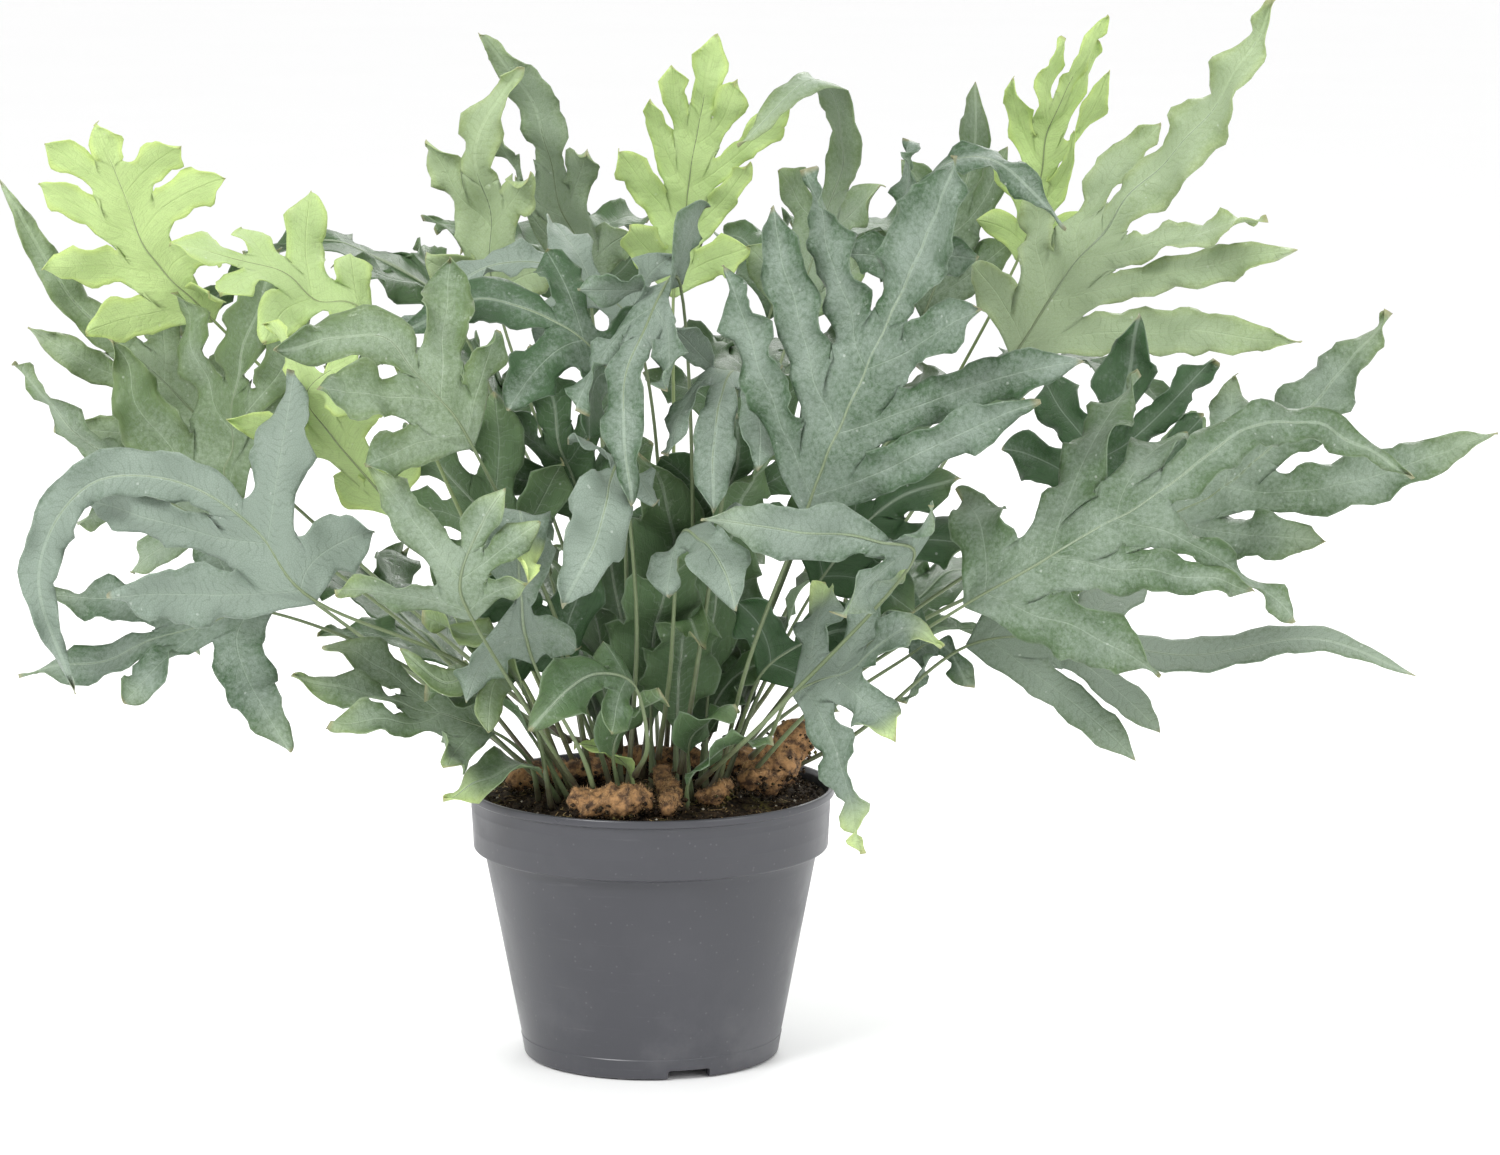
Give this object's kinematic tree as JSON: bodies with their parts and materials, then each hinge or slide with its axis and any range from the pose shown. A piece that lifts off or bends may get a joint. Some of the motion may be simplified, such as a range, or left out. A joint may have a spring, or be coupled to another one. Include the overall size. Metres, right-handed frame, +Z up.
{
  "type": "potted fern",
  "caption": "Potted fern: a tapered nursery pot of soil with furry creeping rhizomes and a wide crown of long-stalked, deeply lobed fronds.",
  "frame": {"origin": "centre of the pot's base, on the ground", "axes": "+Z up out of the pot, +X along the widest spread of the fronds, -Y towards the front"},
  "size_m": [0.7002, 0.467, 0.4851],
  "materials": {
    "pot_plastic": "satin",
    "potting_soil": "matte",
    "rhizome_fur": "matte",
    "frond_mature": "satin",
    "frond_young": "satin"
  },
  "bodies": {
    "root": {"pot": "pot_plastic", "soil": "potting_soil", "rhizome_front": "rhizome_fur", "rhizome_middle": "rhizome_fur", "rhizome_right": "rhizome_fur", "rhizome_small": "rhizome_fur", "rhizome_left": "rhizome_fur", "rhizome_back": "rhizome_fur", "frond_lime_left": "frond_young", "frond_lime_fold": "frond_young", "frond_lime_top": "frond_young", "frond_lime_right": "frond_young", "frond_lime_curl": "frond_young", "frond_front_broad": "frond_mature", "frond_front_low": "frond_mature", "frond_right_main": "frond_mature", "frond_left_main": "frond_mature", "frond_left_low": "frond_mature", "frond_left_rim": "frond_mature", "frond_fold_lime": "frond_mature", "frond_light_hang": "frond_mature", "frond_centre_low": "frond_mature", "frond_hang_long": "frond_mature", "frond_centre_wave": "frond_mature", "frond_centre_grey": "frond_mature", "frond_rim_right": "frond_mature", "frond_right_droop": "frond_mature", "frond_right_low": "frond_mature", "frond_right_tip": "frond_mature", "frond_top_right": "frond_mature", "frond_dark_right": "frond_mature", "frond_arch_right": "frond_mature", "frond_back_right": "frond_mature", "frond_arch_top": "frond_mature", "frond_strip_tall": "frond_mature", "frond_strip_high": "frond_mature", "frond_arch_grey": "frond_mature", "frond_arch_dark": "frond_mature", "frond_olive_arch": "frond_mature", "frond_left_broad": "frond_mature", "frond_left_twist": "frond_mature", "frond_left_thin": "frond_mature", "frond_small_left": "frond_mature", "frond_curly_left": "frond_mature", "frond_inner_left": "frond_mature", "frond_inner_high": "frond_mature", "frond_inner_centre": "frond_mature", "frond_inner_right": "frond_mature", "frond_inner_low": "frond_mature", "frond_inner_front": "frond_mature", "frond_back_1": "frond_mature", "frond_back_2": "frond_mature", "frond_back_3": "frond_mature", "frond_back_4": "frond_mature", "frond_back_5": "frond_mature", "frond_back_6": "frond_mature", "frond_back_7": "frond_mature", "frond_back_8": "frond_mature", "frond_back_9": "frond_mature"}
  },
  "joints": []
}
